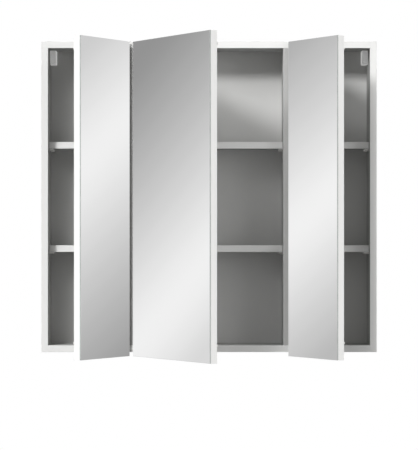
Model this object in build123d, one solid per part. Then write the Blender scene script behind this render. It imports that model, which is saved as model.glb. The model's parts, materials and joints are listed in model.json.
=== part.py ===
from build123d import *
import os
from math import sqrt

# Three-door mirror cabinet for a bathroom wall.
# Millimetres. X runs to the right, Y from the room to the wall, Z up.
# The origin is on the wall, at the centre of the four wall-screw holes.
# The doors stand half open, as in the photograph.

# Cabinet
cabinet_width = 800.0
cabinet_height = 741.0
cabinet_depth = 138.0
board = 16.0
middle_opening = 354.0
top_above_screws = 66.0
edge_round = 0.6

# Back panel, let into grooves
back_thickness = 3.0
wall_recess = 17.0
groove_depth = 5.0
groove_play = 0.1

# Shelves
shelf_pitch = 248.0
shelf_setback = 35.0
shelf_play = 0.5
shelf_rear_play = 1.0
shelf_pin_radius = 2.5
shelf_pin_reach = 9.0
shelf_pin_depth = 7.0
shelf_pin_inset = 15.0

# Board fittings
dowel_radius = 4.0
dowel_length = 30.0
dowel_depth_in_side = 10.0
dowel_inset = 18.0
cam_radius = 7.5
cam_depth = 12.5
cam_from_end = 24.0
cam_inset = 42.0
cam_slot_width = 1.6
cam_slot_depth = 1.5
cam_bolt_radius = 3.0
cam_bolt_depth = 11.0
fitting_play = 0.1
partition_screw_radius = 2.5
partition_screw_length = 50.0
partition_screw_head_radius = 4.5
partition_screw_head = 3.5
partition_screw_inset = 28.0
hex_socket_radius = 2.0
hex_socket_depth = 2.5

# Doors
door_board = 16.0
mirror_thickness = 3.0
door_front_gap = 3.0
door_gap = 4.0
door_side_inset = 1.0
door_top_drop = 1.5
door_grip = 9.0
door_round = 0.4
mirror_bevel = 0.5
bumper_radius = 2.5
bumper_thickness = 2.7
bumper_inset = 3.2
bumper_from_end = 30.0

# Hinge pivots in plan, for a closed door: in from the partition face, and from the cabinet front
arm_pivot_in = 22.5
arm_pivot_behind = 7.5
cup_pivot_in = 5.5
cup_pivot_forward = 9.5
arm_end_bend_in = 20.0
arm_end_bend_forward = 5.5
cup_end_bend_in = 15.5
cup_end_bend_forward = 12.0
link_share = 1 / 3
rest_opening = 60.0

# Hinge pieces
outer_hinge_drop = 80.0
middle_hinge_drop = 120.0
cup_radius = 17.4
cup_wall = 1.0
cup_depth = 12.3
cup_play = 0.1
cup_from_edge = 4.1
flange_radius = 19.4
flange_thickness = 1.0
ear_offset = 6.0
ear_screw_offset = 24.0
ear_radius = 6.5
cup_pin_radius = 1.25
pin_running_play = 0.05
link_width = 12.0
link_thickness = 2.4
link_eye_radius = 2.2
arm_side_play = 0.4
arm_sheet = 1.5
arm_nose_radius = 3.2
arm_web_height = 13.0
arm_back = 52.0
arm_bend = 30.0
arm_web_start = 13.0
arm_heel = 27.0
plate_thickness = 3.0
plate_height = 20.0
plate_front = 22.0
plate_wing_height = 46.0
plate_wing_width = 12.0
plate_screw_line = 37.0
plate_screw_offset = 16.0
plate_block_front = 31.0
plate_block_back = 50.0
fixing_screw_line = 35.0
adjusting_screw_line = 45.0
arm_screw_play = 0.05
arm_screw_radius = 2.0
arm_screw_length = 7.0
arm_screw_head_radius = 3.4
arm_screw_head = 1.6
wood_screw_radius = 1.75
wood_screw_length = 12.0
wood_screw_head_radius = 3.5
wood_screw_head = 1.8
screw_slot = 0.9
screw_slot_depth = 0.7

# Hanger in each upper outer corner
cover_width = 14.0
cover_height = 33.0
cover_depth = 43.0
cover_wall = 1.2
cover_round = 1.2
hanger_width = 10.0
hanger_height = 28.0
hanger_top_gap = 2.0
hanger_front_gap = 5.0
hook_thickness = 4.0
hook_height = 10.0
hook_play = 0.2
hook_from_side = 6.0
hook_reach_in = 30.0
hook_tip = 9.0
hook_wall_gap = 1.5
adjuster_radius = 2.0
adjuster_length = 6.0
adjuster_head_radius = 3.0
adjuster_head = 2.5
adjuster_pitch = 13.0
adjuster_hole_play = 0.4
hanger_screw_depth = 9.0
hanger_screw_spread = 20.0
hanger_screw_rise = 7.0
hook_window_play = 1.0

# Wall plate
screw_spacing_z = 20.0
wall_plate_width = 30.0
wall_plate_from_side = 18.0
wall_plate_thickness = 2.0
wall_plate_foot = 12.0
wall_plate_bend = 16.0
wall_plate_step = 6.0
wall_hook_height = 36.0
wall_hole_radius = 2.75

# Places worked out from the sizes above
side_x = cabinet_width / 2 - board
front_y = -cabinet_depth
back_front_y = -wall_recess - back_thickness
top_z = top_above_screws
bottom_z = top_z - cabinet_height
middle_z = (top_z + bottom_z) / 2
inner_top_z = top_z - board
inner_bottom_z = bottom_z + board
partition_x = middle_opening / 2 + board / 2
outer_opening = side_x - middle_opening / 2 - board
half_door_gap = door_gap / 2
hinge_edge = half_door_gap - board / 2
door_top_z = top_z - door_top_drop
door_bottom_z = bottom_z - door_grip
door_height = door_top_z - door_bottom_z
shelf_front_y = front_y + shelf_setback
shelf_back_y = back_front_y - shelf_rear_play
cup_centre = hinge_edge + cup_from_edge + cup_radius
door_back = door_front_gap
mirror_back = door_back + door_board
wall_plate_x = side_x - wall_plate_from_side
hook_x = side_x - hook_from_side
cover_front_y = back_front_y - cover_depth

nodes = {}


def add(name, pieces):
    """Keep a piece, or a group of like pieces, under the name of its file."""
    group = pieces if isinstance(pieces, list) else [pieces]
    solids = [solid for piece in group for solid in piece.solids()]
    nodes[name] = solids[0] if len(solids) == 1 else Compound(solids)


def block(low, high):
    """A box between two corners."""
    size = [b - a for a, b in zip(low, high)]
    centre = [(a + b) / 2 for a, b in zip(low, high)]
    return Pos(*centre) * Box(*size)


def rounded_block(low, high, radius):
    """A board: a box whose twelve edges are broken."""
    solid = block(low, high)
    return fillet(solid.edges(), radius)


def rod(start, direction, length, radius):
    """A round bar from a point along a direction."""
    plane = Plane(origin=start, z_dir=direction)
    return extrude(plane * Circle(radius), length)


def turned_screw(head_point, inward, shaft, shaft_length, head, head_length, countersunk):
    """A screw whose head's outer face is at head_point and whose shaft runs inward."""
    plane = Plane(origin=head_point, z_dir=inward)
    top = plane * Cylinder(head, head_length, align=(Align.CENTER, Align.CENTER, Align.MIN))
    if countersunk:
        top = plane * Cone(head, shaft, head_length, align=(Align.CENTER, Align.CENTER, Align.MIN))
    stem = plane * Cylinder(shaft, shaft_length, align=(Align.CENTER, Align.CENTER, Align.MIN))
    slot = plane * Box(head * 2, screw_slot, screw_slot_depth,
                       align=(Align.CENTER, Align.CENTER, Align.MIN))
    return top + stem - slot


def screw_hole(head_point, inward, shaft, shaft_length, head, head_length):
    """The hole that a countersunk screw sits in."""
    plane = Plane(origin=head_point, z_dir=inward)
    sink = plane * Cone(head, shaft, head_length, align=(Align.CENTER, Align.CENTER, Align.MIN))
    bore = plane * Cylinder(shaft, shaft_length, align=(Align.CENTER, Align.CENTER, Align.MIN))
    return sink + bore


def both_sides(solid):
    """A piece and its mirror image across the cabinet's middle plane."""
    return [mirror(solid, about=Plane.YZ), solid]


def front_rounded_block(low, high, radius):
    """A board inside the cabinet: only the edges of its front face are broken."""
    solid = block(low, high)
    return fillet(solid.edges().group_by(Axis.Y)[0], radius)


# Hinge and door geometry in plan, for a closed door.
# u runs from the partition face across the opening, v from the cabinet front to the wall.
arm_uv = (arm_pivot_in, arm_pivot_behind)
cup_uv = (cup_pivot_in, -cup_pivot_forward)
arm_swing = link_share * rest_opening
arm_screw_lines = (fixing_screw_line, adjusting_screw_line)
arm_hole_radius = arm_screw_radius + arm_screw_play
cup_at_rest = Vector(cup_uv[0] - arm_uv[0], cup_uv[1] - arm_uv[1]).rotate(Axis.Z, arm_swing)
cup_shift = (cup_at_rest.X + arm_uv[0] - cup_uv[0], cup_at_rest.Y + arm_uv[1] - cup_uv[1])


def turned(solid, pivot, angle):
    """Turn a piece about an upright axis through a plan point."""
    return Pos(*pivot) * Rot(0, 0, angle) * Pos(-pivot[0], -pivot[1]) * solid


def link_to_rest(solid):
    """Swing a hinge link from the closed door to the rest pose."""
    return turned(solid, arm_uv, arm_swing)


def door_to_rest(solid):
    """Carry a door piece from closed to the rest pose."""
    return Pos(*cup_shift) * turned(solid, cup_uv, -rest_opening)


class Door:
    """One door: where its hinges are fixed, how wide it is and which way it faces."""

    def __init__(self, name, side, face_x, far_edge, hinge_drop):
        self.name = name
        self.side = side
        self.face_x = face_x
        self.far_edge = far_edge
        self.hinge_heights = (door_top_z - hinge_drop, door_bottom_z + hinge_drop)

    def place(self, solid):
        """Move a piece from the hinge's plan to the cabinet."""
        facing = solid if self.side > 0 else mirror(solid, about=Plane.YZ)
        return Pos(self.face_x, front_y) * facing

    def at_hinges(self, solid):
        """One copy of a hinge piece at each hinge height, still in plan."""
        return [Pos(0, 0, height) * solid for height in self.hinge_heights]


outer_far_edge = outer_opening + board - door_side_inset
middle_far_edge = middle_opening + board / 2 - half_door_gap
doors = [
    Door("left", -1, -middle_opening / 2 - board, outer_far_edge, outer_hinge_drop),
    Door("middle", 1, -middle_opening / 2, middle_far_edge, middle_hinge_drop),
    Door("right", 1, middle_opening / 2 + board, outer_far_edge, outer_hinge_drop),
]


def plan_bar(start, end, width):
    """A flat bar with round ends between two plan points."""
    between = Vector(end[0] - start[0], end[1] - start[1])
    angle = Vector(1, 0, 0).get_signed_angle(between, Vector(0, 0, 1))
    middle = ((start[0] + end[0]) / 2, (start[1] + end[1]) / 2)
    return Pos(*middle) * Rot(0, 0, angle) * SlotCenterToCenter(between.length, width)


def upright(sketch, low, high):
    """Stand a plan shape up between two heights."""
    return extrude(Pos(0, 0, low) * sketch, high - low)


def mirrored_heights(solid):
    """A piece above the hinge's middle, with its image below."""
    return solid + mirror(solid, about=Plane.XY)


def hinge_link():
    """The cranked link that reaches round the door's edge into the cup."""
    arm_bend_uv = (arm_end_bend_in, -arm_end_bend_forward)
    cup_bend_uv = (cup_end_bend_in, -cup_end_bend_forward)
    line = [arm_uv, arm_bend_uv, cup_bend_uv, cup_uv]
    shape = Pos(*arm_uv) * Circle(link_eye_radius) + Pos(*cup_uv) * Circle(link_eye_radius)
    for start, end in zip(line, line[1:]):
        shape += plan_bar(start, end, link_thickness)
    for eye in (arm_uv, cup_uv):
        shape -= Pos(*eye) * Circle(cup_pin_radius + pin_running_play)
    return upright(shape, -link_width / 2, link_width / 2)


def arm_web():
    """Plan of the arm's outer sheet, from the nose back over the mounting plate."""
    nose = (arm_uv[0] + arm_nose_radius - arm_sheet / 2, arm_web_start)
    bend = (arm_web_height, arm_bend)
    tail = (arm_web_height, arm_back)
    return plan_bar(nose, bend, arm_sheet) + plan_bar(bend, tail, arm_sheet)


def hinge_arm():
    """The folded arm: two cheeks that hold the pin, and the web between them."""
    inner = link_width / 2 + arm_side_play
    outer = inner + arm_sheet
    foot = plate_thickness + hook_play
    top = arm_uv[0] + arm_nose_radius
    crest = arm_web_height + arm_sheet / 2
    cheek = make_face(Polyline(
        (foot, arm_back), (foot, arm_heel), (arm_uv[0] - arm_nose_radius / 2, arm_uv[1] - arm_nose_radius / 2),
        (top, arm_uv[1]), (top, arm_web_start), (crest, arm_bend), (crest, arm_back), close=True))
    cheek += Pos(*arm_uv) * Circle(arm_nose_radius)
    cheek -= Pos(*arm_uv) * Circle(cup_pin_radius)
    arm = mirrored_heights(upright(cheek, inner, outer)) + upright(arm_web(), -outer, outer)
    for line in arm_screw_lines:
        arm -= rod((arm_web_height + arm_sheet, line, 0), (-1, 0, 0), arm_sheet * 2, arm_hole_radius)
    return arm


def mounting_plate():
    """The cross-shaped plate on the partition, with the block that carries the arm."""
    body = block((0, plate_front, -plate_height / 2), (plate_thickness, arm_back, plate_height / 2))
    wings = block((0, plate_screw_line - plate_wing_width / 2, -plate_wing_height / 2),
                  (plate_thickness, plate_screw_line + plate_wing_width / 2, plate_wing_height / 2))
    rail = block((plate_thickness, plate_block_front, -link_width / 2),
                 (arm_web_height - arm_sheet / 2, plate_block_back, link_width / 2))
    plate = fillet((body + wings).edges().filter_by(Axis.X), edge_round) + rail
    for line in arm_screw_lines:
        plate -= rod((arm_web_height, line, 0), (-1, 0, 0), arm_screw_length, arm_hole_radius)
    for place in plate_screw_places():
        plate -= screw_hole(place, (-1, 0, 0), wood_screw_radius, wood_screw_length,
                            wood_screw_head_radius, wood_screw_head)
    return plate


def plate_screw_places():
    """Where the two wood screws of a mounting plate start."""
    return [(plate_thickness, plate_screw_line, way * plate_screw_offset) for way in (-1, 1)]


def plate_screws():
    """The two wood screws of a mounting plate."""
    return [turned_screw(place, (-1, 0, 0), wood_screw_radius, wood_screw_length,
                         wood_screw_head_radius, wood_screw_head, True) for place in plate_screw_places()]


def arm_screws():
    """The adjusting screw and the fixing screw of an arm."""
    top = arm_web_height + arm_sheet / 2 + arm_screw_head
    return [turned_screw((top, line, 0), (-1, 0, 0), arm_screw_radius, arm_screw_length,
                         arm_screw_head_radius, arm_screw_head, False) for line in arm_screw_lines]


def arm_pin():
    """The pin on which the link turns in the arm."""
    half = link_width / 2 + arm_side_play + arm_sheet
    return upright(Pos(*arm_uv) * Circle(cup_pin_radius), -half, half)


def cup_pin():
    """The pin on which the link turns in the cup, held in the cup's wall."""
    reach = cup_centre - cup_uv[0] + cup_pin_radius
    half = sqrt(cup_radius ** 2 - reach ** 2) - fitting_play
    return upright(Pos(*cup_uv) * Circle(cup_pin_radius), -half, half)


def ear_screw_places():
    """Where the two screws of a cup start, on the flange."""
    return [(cup_centre + ear_offset, -door_back + flange_thickness, way * ear_screw_offset)
            for way in (-1, 1)]


def hinge_cup():
    """The pressed cup with its flange and two ears."""
    face = Plane(origin=(cup_centre, -door_back, 0), z_dir=(0, -1, 0))
    rim = Plane(origin=(cup_centre, -door_back, 0), z_dir=(0, 1, 0))
    shell = face * Cylinder(cup_radius, cup_depth, align=(Align.CENTER, Align.CENTER, Align.MIN))
    flange = rim * Cylinder(flange_radius, flange_thickness,
                            align=(Align.CENTER, Align.CENTER, Align.MIN))
    ear_line = Pos(cup_centre + ear_offset, -door_back, 0)
    ears = ear_line * Rot(-90, 0, 0) * extrude(
        Rot(0, 0, 90) * SlotCenterToCenter(ear_screw_offset * 2, ear_radius * 2), flange_thickness)
    cup = shell + flange + ears
    hollow = rim * Pos(0, 0, flange_thickness) * Cylinder(
        cup_radius - cup_wall, cup_depth + flange_thickness - cup_wall,
        align=(Align.CENTER, Align.CENTER, Align.MAX))
    cup -= hollow
    for place in ear_screw_places():
        cup -= screw_hole(place, (0, -1, 0), wood_screw_radius, wood_screw_length,
                          wood_screw_head_radius, flange_thickness)
    return cup - cup_pin()


def cup_screws():
    """The two screws that hold a cup in the door."""
    return [turned_screw(place, (0, -1, 0), wood_screw_radius, wood_screw_length,
                         wood_screw_head_radius, flange_thickness, True) for place in ear_screw_places()]


def door_panel(door):
    """The coated board of a door, bored for its cups."""
    panel = rounded_block((hinge_edge, -mirror_back, door_bottom_z), (door.far_edge, -door_back, door_top_z),
                          door_round)
    bore_radius = cup_radius + cup_play
    bore = rod((cup_centre, -door_back, 0), (0, -1, 0), cup_depth + cup_play, bore_radius)
    cuts = [bore]
    for place in ear_screw_places():
        cuts.append(screw_hole(place, (0, -1, 0), wood_screw_radius, wood_screw_length,
                               wood_screw_head_radius, flange_thickness))
    for cut in cuts:
        for placed in door.at_hinges(cut):
            panel -= placed
    return panel


def door_mirror(door):
    """The glass on a door, as large as the board, its front edges bevelled."""
    glass = block((hinge_edge, -mirror_back - mirror_thickness, door_bottom_z),
                  (door.far_edge, -mirror_back, door_top_z))
    return chamfer(glass.edges().group_by(Axis.Y)[0], mirror_bevel)


def door_bumpers(door):
    """Two soft pads on the free edge, which meet the cabinet front when the door shuts."""
    across = door.far_edge - bumper_inset
    heights = (door_top_z - bumper_from_end, bottom_z + bumper_from_end)
    return [rod((across, -door_back, height), (0, 1, 0), bumper_thickness, bumper_radius) for height in heights]


def build_hinges_and_doors():
    """Every piece that belongs to a door, in the rest pose."""
    plates, screws, fixings, pins = [], [], [], []
    plate, arm, link, cup = mounting_plate(), hinge_arm(), hinge_link(), hinge_cup()
    for door in doors:
        plates += [door.place(piece) for piece in door.at_hinges(plate)]
        for screw in plate_screws():
            screws += [door.place(piece) for piece in door.at_hinges(screw)]
        for screw in arm_screws():
            fixings += [door.place(piece) for piece in door.at_hinges(screw)]
        pins += [door.place(piece) for piece in door.at_hinges(arm_pin())]
        add(f"{door.name}_hinge_arms", [door.place(piece) for piece in door.at_hinges(arm)])
        add(f"{door.name}_hinge_links",
            [door.place(link_to_rest(piece)) for piece in door.at_hinges(link)])
        for end, piece in zip(("upper", "lower"), door.at_hinges(cup)):
            add(f"{door.name}_{end}_hinge_cup", door.place(door_to_rest(piece)))
        add(f"{door.name}_cup_pins",
            [door.place(door_to_rest(piece)) for piece in door.at_hinges(cup_pin())])
        add(f"{door.name}_cup_screws",
            [door.place(door_to_rest(piece)) for screw in cup_screws() for piece in door.at_hinges(screw)])
        add(f"{door.name}_door_panel", door.place(door_to_rest(door_panel(door))))
        add(f"{door.name}_door_mirror", door.place(door_to_rest(door_mirror(door))))
        add(f"{door.name}_door_bumpers",
            [door.place(door_to_rest(pad)) for pad in door_bumpers(door)])
    add("hinge_plates", plates)
    add("hinge_plate_screws", screws)
    add("hinge_arm_screws", fixings)
    add("hinge_arm_pins", pins)


# Board fittings, for the right-hand end of the cabinet
dowel_ys = (front_y + dowel_inset, back_front_y - dowel_inset)
cam_ys = (front_y + cam_inset, back_front_y - cam_inset)
partition_screw_ys = (front_y + partition_screw_inset, back_front_y - partition_screw_inset)
level_board_zs = (inner_top_z + board / 2, inner_bottom_z - board / 2)


def end_dowels(play):
    """Dowels between the right side and the level boards, or their holes when play is given."""
    return [rod((side_x + dowel_depth_in_side + play, y, z), (-1, 0, 0), dowel_length + 2 * play,
                dowel_radius + play) for y in dowel_ys for z in level_board_zs]


def end_cams(play):
    """Cam housings let into the outer faces of the level boards, or their bores."""
    x = side_x - cam_from_end
    return [rod((x, y, z), (0, 0, -way), cam_depth + play, cam_radius + play)
            for y in cam_ys for z, way in ((top_z, 1), (bottom_z, -1))]


def end_cam_bolts(play):
    """Bolts from the right side into the cam housings, or their holes."""
    length = cam_bolt_depth + cam_from_end
    return [rod((side_x + cam_bolt_depth + play, y, z), (-1, 0, 0), length + play, cam_bolt_radius + play)
            for y in cam_ys for z in level_board_zs]


def cam_housing_pieces():
    """Cam housings with their screwdriver slots, open where the bolts enter."""
    pieces = []
    for housing in end_cams(0):
        for bolt in end_cam_bolts(fitting_play):
            housing -= bolt
        centre = housing.bounding_box().center()
        way = 1 if centre.Z > middle_z else -1
        outer_z = top_z if way > 0 else bottom_z
        slot = Pos(centre.X, centre.Y, outer_z) * Box(cam_radius, cam_slot_width, cam_slot_depth * 2)
        pieces.append(housing - slot)
    return pieces


def partition_screw_places():
    """Head centres and directions of the screws through the level boards."""
    return [((partition_x, y, z), (0, 0, -way)) for y in partition_screw_ys
            for z, way in ((top_z, 1), (bottom_z, -1))]


def partition_screws():
    """Long screws through the level boards into the ends of the right partition."""
    pieces = []
    for place, inward in partition_screw_places():
        plane = Plane(origin=place, z_dir=inward)
        head = plane * Cylinder(partition_screw_head_radius, partition_screw_head,
                                align=(Align.CENTER, Align.CENTER, Align.MIN))
        socket = plane * extrude(RegularPolygon(hex_socket_radius, 6), hex_socket_depth)
        stem = rod(place, inward, partition_screw_length, partition_screw_radius)
        pieces.append(head + stem - socket)
    return pieces


def partition_screw_holes():
    """The stepped holes of those screws."""
    return [rod(place, inward, partition_screw_head, partition_screw_head_radius)
            + rod(place, inward, partition_screw_length, partition_screw_radius)
            for place, inward in partition_screw_places()]


# Hanger pieces, for the right-hand upper corner
hanger_top_z = inner_top_z - hanger_top_gap
hanger_bottom_z = hanger_top_z - hanger_height
hanger_front_y = cover_front_y + hanger_front_gap
hanger_screw_y = (hanger_front_y + back_front_y) / 2
adjuster_zs = [(hanger_top_z + hanger_bottom_z + way * adjuster_pitch) / 2 for way in (-1, 1)]


def hanger_screw_places():
    """Where the hanger's two screws start, on its body."""
    return [(side_x - hanger_width, hanger_screw_y + way * hanger_screw_spread / 2,
             hanger_bottom_z + hanger_screw_rise) for way in (-1, 1)]


def hanger_screws():
    """The screws that hold a hanger to the side panel."""
    length = hanger_width + hanger_screw_depth
    return [turned_screw(place, (1, 0, 0), wood_screw_radius, length, wood_screw_head_radius,
                         wood_screw_head, True) for place in hanger_screw_places()]


def hanger_screw_holes():
    """The holes of those screws."""
    length = hanger_width + hanger_screw_depth
    return [screw_hole(place, (1, 0, 0), wood_screw_radius, length, wood_screw_head_radius, wood_screw_head)
            for place in hanger_screw_places()]


def side_profile(points, x, width):
    """A bar of constant width whose outline is drawn in Y and Z."""
    outline = make_face(Plane.YZ * Polyline(*points, close=True))
    return extrude(Pos(x - width / 2, 0, 0) * outline, width, dir=(1, 0, 0))


def hanger_hook():
    """The flat hook that reaches through the back panel and over the wall plate."""
    inner_y = back_front_y - hook_reach_in
    top = wall_hook_height + hook_height
    throat = -wall_plate_step + 2 * hook_play
    points = [(inner_y, wall_hook_height), (inner_y, top), (-hook_wall_gap, top),
              (-hook_wall_gap, wall_hook_height - hook_tip), (throat, wall_hook_height - hook_tip),
              (throat, wall_hook_height)]
    return side_profile(points, hook_x, hook_thickness)


def hanger_adjusters():
    """The height screw and the depth screw in a hanger's front."""
    return [turned_screw((hook_x, hanger_front_y - adjuster_head, z), (0, 1, 0), adjuster_radius,
                         adjuster_length + adjuster_head, adjuster_head_radius, adjuster_head, False)
            for z in adjuster_zs]


def hanger_body():
    """The block that carries the hook, screwed to the side panel."""
    body = block((side_x - hanger_width, hanger_front_y, hanger_bottom_z),
                 (side_x, back_front_y, hanger_top_z))
    half = hook_thickness / 2 + hook_play
    body -= block((hook_x - half, back_front_y - hook_reach_in - hook_play, wall_hook_height - hook_play),
                  (hook_x + half, back_front_y, wall_hook_height + hook_height + hook_play))
    for z in adjuster_zs:
        body -= rod((hook_x, hanger_front_y, z), (0, 1, 0), adjuster_length, adjuster_radius)
    for hole in hanger_screw_holes():
        body -= hole
    return body


def hanger_cover():
    """The thin cover over a hanger, open to the side panel and the back panel."""
    corner = Vector(side_x - cover_width, cover_front_y, inner_top_z - cover_height)
    shell = block(tuple(corner), (side_x, back_front_y, inner_top_z))
    shell = fillet([edge for edge in shell.edges()
                    if any((vertex.center() - corner).length < cover_wall for vertex in edge.vertices())],
                   cover_round)
    shell -= block((corner.X + cover_wall, corner.Y + cover_wall, corner.Z + cover_wall),
                   (side_x, back_front_y, inner_top_z - cover_wall))
    for z in adjuster_zs:
        shell -= rod((hook_x, cover_front_y, z), (0, 1, 0), cover_wall,
                     adjuster_head_radius + adjuster_hole_play)
    return shell


def wall_plate():
    """The cranked steel plate that is screwed to the wall and carries a hook."""
    foot = -screw_spacing_z / 2 - wall_plate_foot
    crank = wall_plate_thickness * (sqrt(2) - 1)
    bend_top = wall_plate_bend + wall_plate_step
    outer = -wall_plate_step - wall_plate_thickness
    points = [(0, foot), (0, wall_plate_bend), (-wall_plate_step, bend_top),
              (-wall_plate_step, wall_hook_height), (outer, wall_hook_height), (outer, bend_top - crank),
              (-wall_plate_thickness, wall_plate_bend - crank), (-wall_plate_thickness, foot)]
    plate = side_profile(points, wall_plate_x, wall_plate_width)
    for way in (-1, 1):
        plate -= rod((wall_plate_x, -wall_plate_thickness, way * screw_spacing_z / 2), (0, 1, 0),
                     wall_plate_thickness, wall_hole_radius)
    return plate


# Compartments: name and the inner faces to the left and right
compartments = [
    ("left", -side_x, -middle_opening / 2 - board),
    ("middle", -middle_opening / 2, middle_opening / 2),
    ("right", middle_opening / 2 + board, side_x),
]
shelf_undersides = {
    "upper": middle_z + shelf_pitch / 2 - board / 2,
    "lower": middle_z - shelf_pitch / 2 - board / 2,
}


def shelf(low_x, high_x, underside):
    """A shelf with play at its ends, resting on its pins."""
    return front_rounded_block((low_x + shelf_play, shelf_front_y, underside),
                               (high_x - shelf_play, shelf_back_y, underside + board), edge_round)


def shelf_pins(play):
    """The four pins under every shelf, or their holes when play is given."""
    pins = []
    for _, low_x, high_x in compartments:
        for underside in shelf_undersides.values():
            for y in (shelf_front_y + shelf_pin_inset, shelf_back_y - shelf_pin_inset):
                for x, way in ((low_x, 1), (high_x, -1)):
                    start = (x - way * (shelf_pin_depth + play), y, underside - shelf_pin_radius)
                    pins.append(rod(start, (way, 0, 0), shelf_pin_depth + shelf_pin_reach,
                                    shelf_pin_radius + play))
    return pins


def back_groove():
    """The space that the back panel's groove takes out of the frame."""
    x = side_x + groove_depth
    return block((-x, back_front_y - groove_play, inner_bottom_z - groove_depth),
                 (x, -wall_recess + groove_play, inner_top_z + groove_depth))


def back_panel():
    """The thin back, held in the groove, with a window for each hook."""
    x = side_x + groove_depth - groove_play
    panel = block((-x, back_front_y, inner_bottom_z - groove_depth + groove_play),
                  (x, -wall_recess, inner_top_z + groove_depth - groove_play))
    half = hook_thickness / 2 + hook_window_play
    window = block((hook_x - half, back_front_y, wall_hook_height - hook_window_play),
                   (hook_x + half, -wall_recess, wall_hook_height + hook_height + hook_window_play))
    for cut in both_sides(window):
        panel -= cut
    return panel


def hinge_screw_holes():
    """The holes that the mounting plates' screws take in the partitions."""
    holes = []
    for door in doors:
        for place in plate_screw_places():
            hole = screw_hole(place, (-1, 0, 0), wood_screw_radius, wood_screw_length,
                              wood_screw_head_radius, wood_screw_head)
            holes += [door.place(placed) for placed in door.at_hinges(hole)]
    return holes


def less(board_solid, cuts):
    """A board with a list of holes taken out."""
    for cut in cuts:
        board_solid -= cut
    return board_solid


def build_frame():
    """The outer boards, the partitions, the back and what joins them."""
    pin_holes = shelf_pins(fitting_play)
    side = rounded_block((side_x, front_y, bottom_z), (side_x + board, 0, top_z), edge_round)
    joints = end_dowels(fitting_play) + end_cam_bolts(fitting_play)
    right_side = less(side, [back_groove(), *joints, *hanger_screw_holes(), *pin_holes])
    add("right_side_panel", right_side)
    add("left_side_panel", mirror(right_side, about=Plane.YZ))
    level_cuts = [hole for cut in joints + end_cams(fitting_play) + partition_screw_holes()
                  for hole in both_sides(cut)]
    for name, low_z in (("top_panel", inner_top_z), ("bottom_panel", bottom_z)):
        level = front_rounded_block((-side_x, front_y, low_z), (side_x, 0, low_z + board), edge_round)
        add(name, less(level, [back_groove(), *level_cuts]))
    upright_cuts = [hole for cut in partition_screw_holes() for hole in both_sides(cut)]
    for name, centre in (("left_partition", -partition_x), ("right_partition", partition_x)):
        partition = front_rounded_block((centre - board / 2, front_y, inner_bottom_z),
                                        (centre + board / 2, back_front_y, inner_top_z), edge_round)
        add(name, less(partition, upright_cuts + pin_holes + hinge_screw_holes()))
    add("back_panel", back_panel())
    for name, pieces in (("dowels", end_dowels(0)), ("cam_housings", cam_housing_pieces()),
                         ("cam_bolts", end_cam_bolts(0)), ("partition_screws", partition_screws())):
        add(name, [copy for piece in pieces for copy in both_sides(piece)])


def build_shelves():
    """Two shelves in each compartment and the pins that carry them."""
    for name, low_x, high_x in compartments:
        for level, underside in shelf_undersides.items():
            add(f"{name}_{level}_shelf", shelf(low_x, high_x, underside))
    add("shelf_pins", shelf_pins(0))


def build_hangers():
    """The hangers, their covers and screws, and the plates on the wall."""
    for name, piece in (("hanger_body", hanger_body()), ("hanger_hook", hanger_hook()),
                        ("hanger_cover", hanger_cover()), ("wall_plate", wall_plate())):
        add(f"right_{name}", piece)
        add(f"left_{name}", mirror(piece, about=Plane.YZ))
    add("hanger_screws", [copy for piece in hanger_screws() for copy in both_sides(piece)])
    add("hanger_adjusters", [copy for piece in hanger_adjusters() for copy in both_sides(piece)])


build_frame()
build_shelves()
build_hangers()
build_hinges_and_doors()

os.makedirs("parts", exist_ok=True)
for name, shape in nodes.items():
    export_step(shape, f"parts/{name}.step")
print(len(nodes), "pieces written")
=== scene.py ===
"""Dresses a three-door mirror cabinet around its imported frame, in metres, on the frame's axes."""

from __future__ import annotations

import json
import logging
import math
from contextlib import contextmanager
from dataclasses import dataclass
from enum import Enum
from typing import Callable, Iterator, Protocol, Sequence

import bmesh
import bpy
from mathutils import Matrix, Vector

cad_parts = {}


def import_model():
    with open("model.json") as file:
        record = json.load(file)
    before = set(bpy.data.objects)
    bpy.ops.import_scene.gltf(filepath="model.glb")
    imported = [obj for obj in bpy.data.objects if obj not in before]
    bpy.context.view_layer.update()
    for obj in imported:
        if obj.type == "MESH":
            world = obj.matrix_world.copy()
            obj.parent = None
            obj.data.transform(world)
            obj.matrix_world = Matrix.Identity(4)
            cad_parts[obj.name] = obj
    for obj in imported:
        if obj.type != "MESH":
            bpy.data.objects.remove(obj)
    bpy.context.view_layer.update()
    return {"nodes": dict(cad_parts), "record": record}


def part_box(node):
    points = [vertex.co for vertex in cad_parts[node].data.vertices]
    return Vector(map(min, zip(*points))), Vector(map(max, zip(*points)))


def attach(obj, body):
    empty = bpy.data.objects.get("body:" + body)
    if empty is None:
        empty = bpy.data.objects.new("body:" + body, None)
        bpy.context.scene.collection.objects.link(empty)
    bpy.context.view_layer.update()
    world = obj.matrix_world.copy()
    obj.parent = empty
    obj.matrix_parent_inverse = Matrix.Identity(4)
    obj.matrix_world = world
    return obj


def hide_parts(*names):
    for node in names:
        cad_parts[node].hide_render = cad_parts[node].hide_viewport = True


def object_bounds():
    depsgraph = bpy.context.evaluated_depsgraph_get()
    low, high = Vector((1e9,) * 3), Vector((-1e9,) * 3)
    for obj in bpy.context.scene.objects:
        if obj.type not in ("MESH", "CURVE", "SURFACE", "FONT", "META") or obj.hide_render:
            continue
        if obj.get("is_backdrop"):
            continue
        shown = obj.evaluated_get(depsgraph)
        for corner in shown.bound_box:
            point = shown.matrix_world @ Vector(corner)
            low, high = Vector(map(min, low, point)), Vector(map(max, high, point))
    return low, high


LOG = logging.getLogger("cabinet")

MM = 0.001
REST_OPENING = math.radians(60)
UPPER, LOWER = 1, -1

# Each door and the side of its partition that carries its hinges, -1 for left.
DOORS = (("left", -1), ("middle", 1), ("right", 1))
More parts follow.
